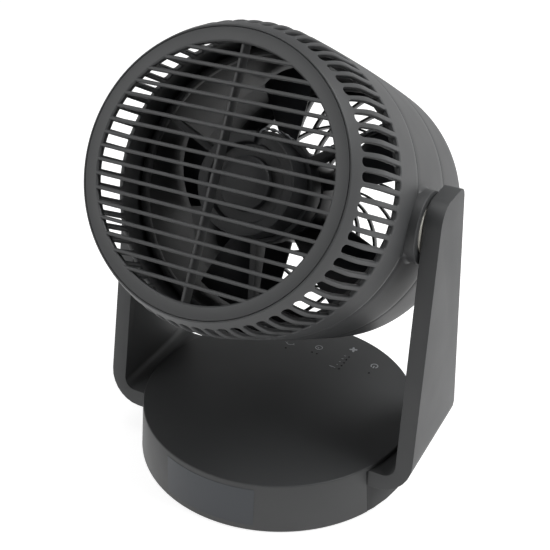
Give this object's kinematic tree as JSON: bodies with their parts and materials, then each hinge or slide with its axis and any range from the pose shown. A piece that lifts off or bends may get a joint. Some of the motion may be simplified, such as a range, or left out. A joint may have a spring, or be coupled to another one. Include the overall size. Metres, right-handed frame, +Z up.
{
  "type": "air circulator fan",
  "caption": "Drum-shaped air circulator with a barred intake, slotted rim and swept outlet fins, tilting in a U-shaped yoke on a round swinging base with touch signs.",
  "frame": {"origin": "middle of the foot, on the underside of the middle rubber pad, at table height, on the swing axis", "axes": "+Z up from the table, +Y towards the touch signs and the air outlet, X along the tilt axis; the intake grille faces -Y and up"},
  "size_m": [0.2392, 0.2668, 0.329],
  "materials": {
    "charcoal": "fine satin, moulded",
    "dark_plastic": "moulded, matt",
    "black_plastic": "moulded, matt",
    "rubber": "matt",
    "steel": "turned, bright",
    "core_steel": "stacked plate, dull",
    "acetal": "moulded, smooth",
    "board": "lacquered circuit board",
    "lead_jacket": "soft jacket"
  },
  "bodies": {
    "foot": {"foot_plate": "black_plastic", "foot_pad_0": "rubber", "foot_pad_1": "rubber", "foot_pad_2": "rubber", "foot_pad_3": "rubber", "foot_pad_4": "rubber", "glide_ring": "acetal", "fixed_gear": "acetal", "swing_washer": "steel", "swing_screw": "steel"},
    "stand": {"base_housing": "charcoal", "base_floor": "black_plastic", "yoke": "charcoal", "control_board": "board", "touch_pad_power": "rubber", "touch_pad_speed": "rubber", "touch_pad_timer": "rubber", "touch_pad_swing": "rubber", "cord_gland": "rubber", "swing_motor": "steel", "pivot_pin_right": "steel", "pivot_pin_left": "steel"},
    "pinion": {"swing_pinion": "acetal"},
    "head": {"friction_washer_right": "acetal", "friction_washer_left": "acetal", "intake_grille": "charcoal", "rear_casing": "charcoal", "barrel": "charcoal", "outlet_casing": "charcoal", "outlet_fins": "charcoal", "air_duct": "dark_plastic", "motor_bracket": "black_plastic", "motor_can": "black_plastic", "motor_plate": "black_plastic", "stator": "core_steel", "rear_bearing": "steel", "front_bearing": "steel", "motor_lead": "lead_jacket"},
    "fan": {"impeller": "black_plastic", "motor_shaft": "steel", "rotor": "core_steel"}
  },
  "joints": [
    {"name": "swing", "type": "hinge", "parent": "foot", "child": "stand", "pos_m": [0, 0, 0.012], "axis": [0, 0, 1], "range_deg": [-45, 45]},
    {"name": "pinion_spin", "type": "hinge", "parent": "stand", "child": "pinion", "pos_m": [0, -0.036, 0.006], "axis": [0, 0, 1], "range_deg": [-140, 140]},
    {"name": "tilt", "type": "hinge", "parent": "stand", "child": "head", "pos_m": [0, 0, 0.204], "axis": [1, 0, 0], "range_deg": [-5.6, 119.4]},
    {"name": "fan_spin", "type": "hinge", "parent": "head", "child": "fan", "pos_m": [0, 0, 0.204], "axis": [0, 0.8712, -0.4909], "continuous": true}
  ],
  "couplings": [
    {"joint": "pinion_spin", "follows": "swing", "ratio": 3}
  ]
}
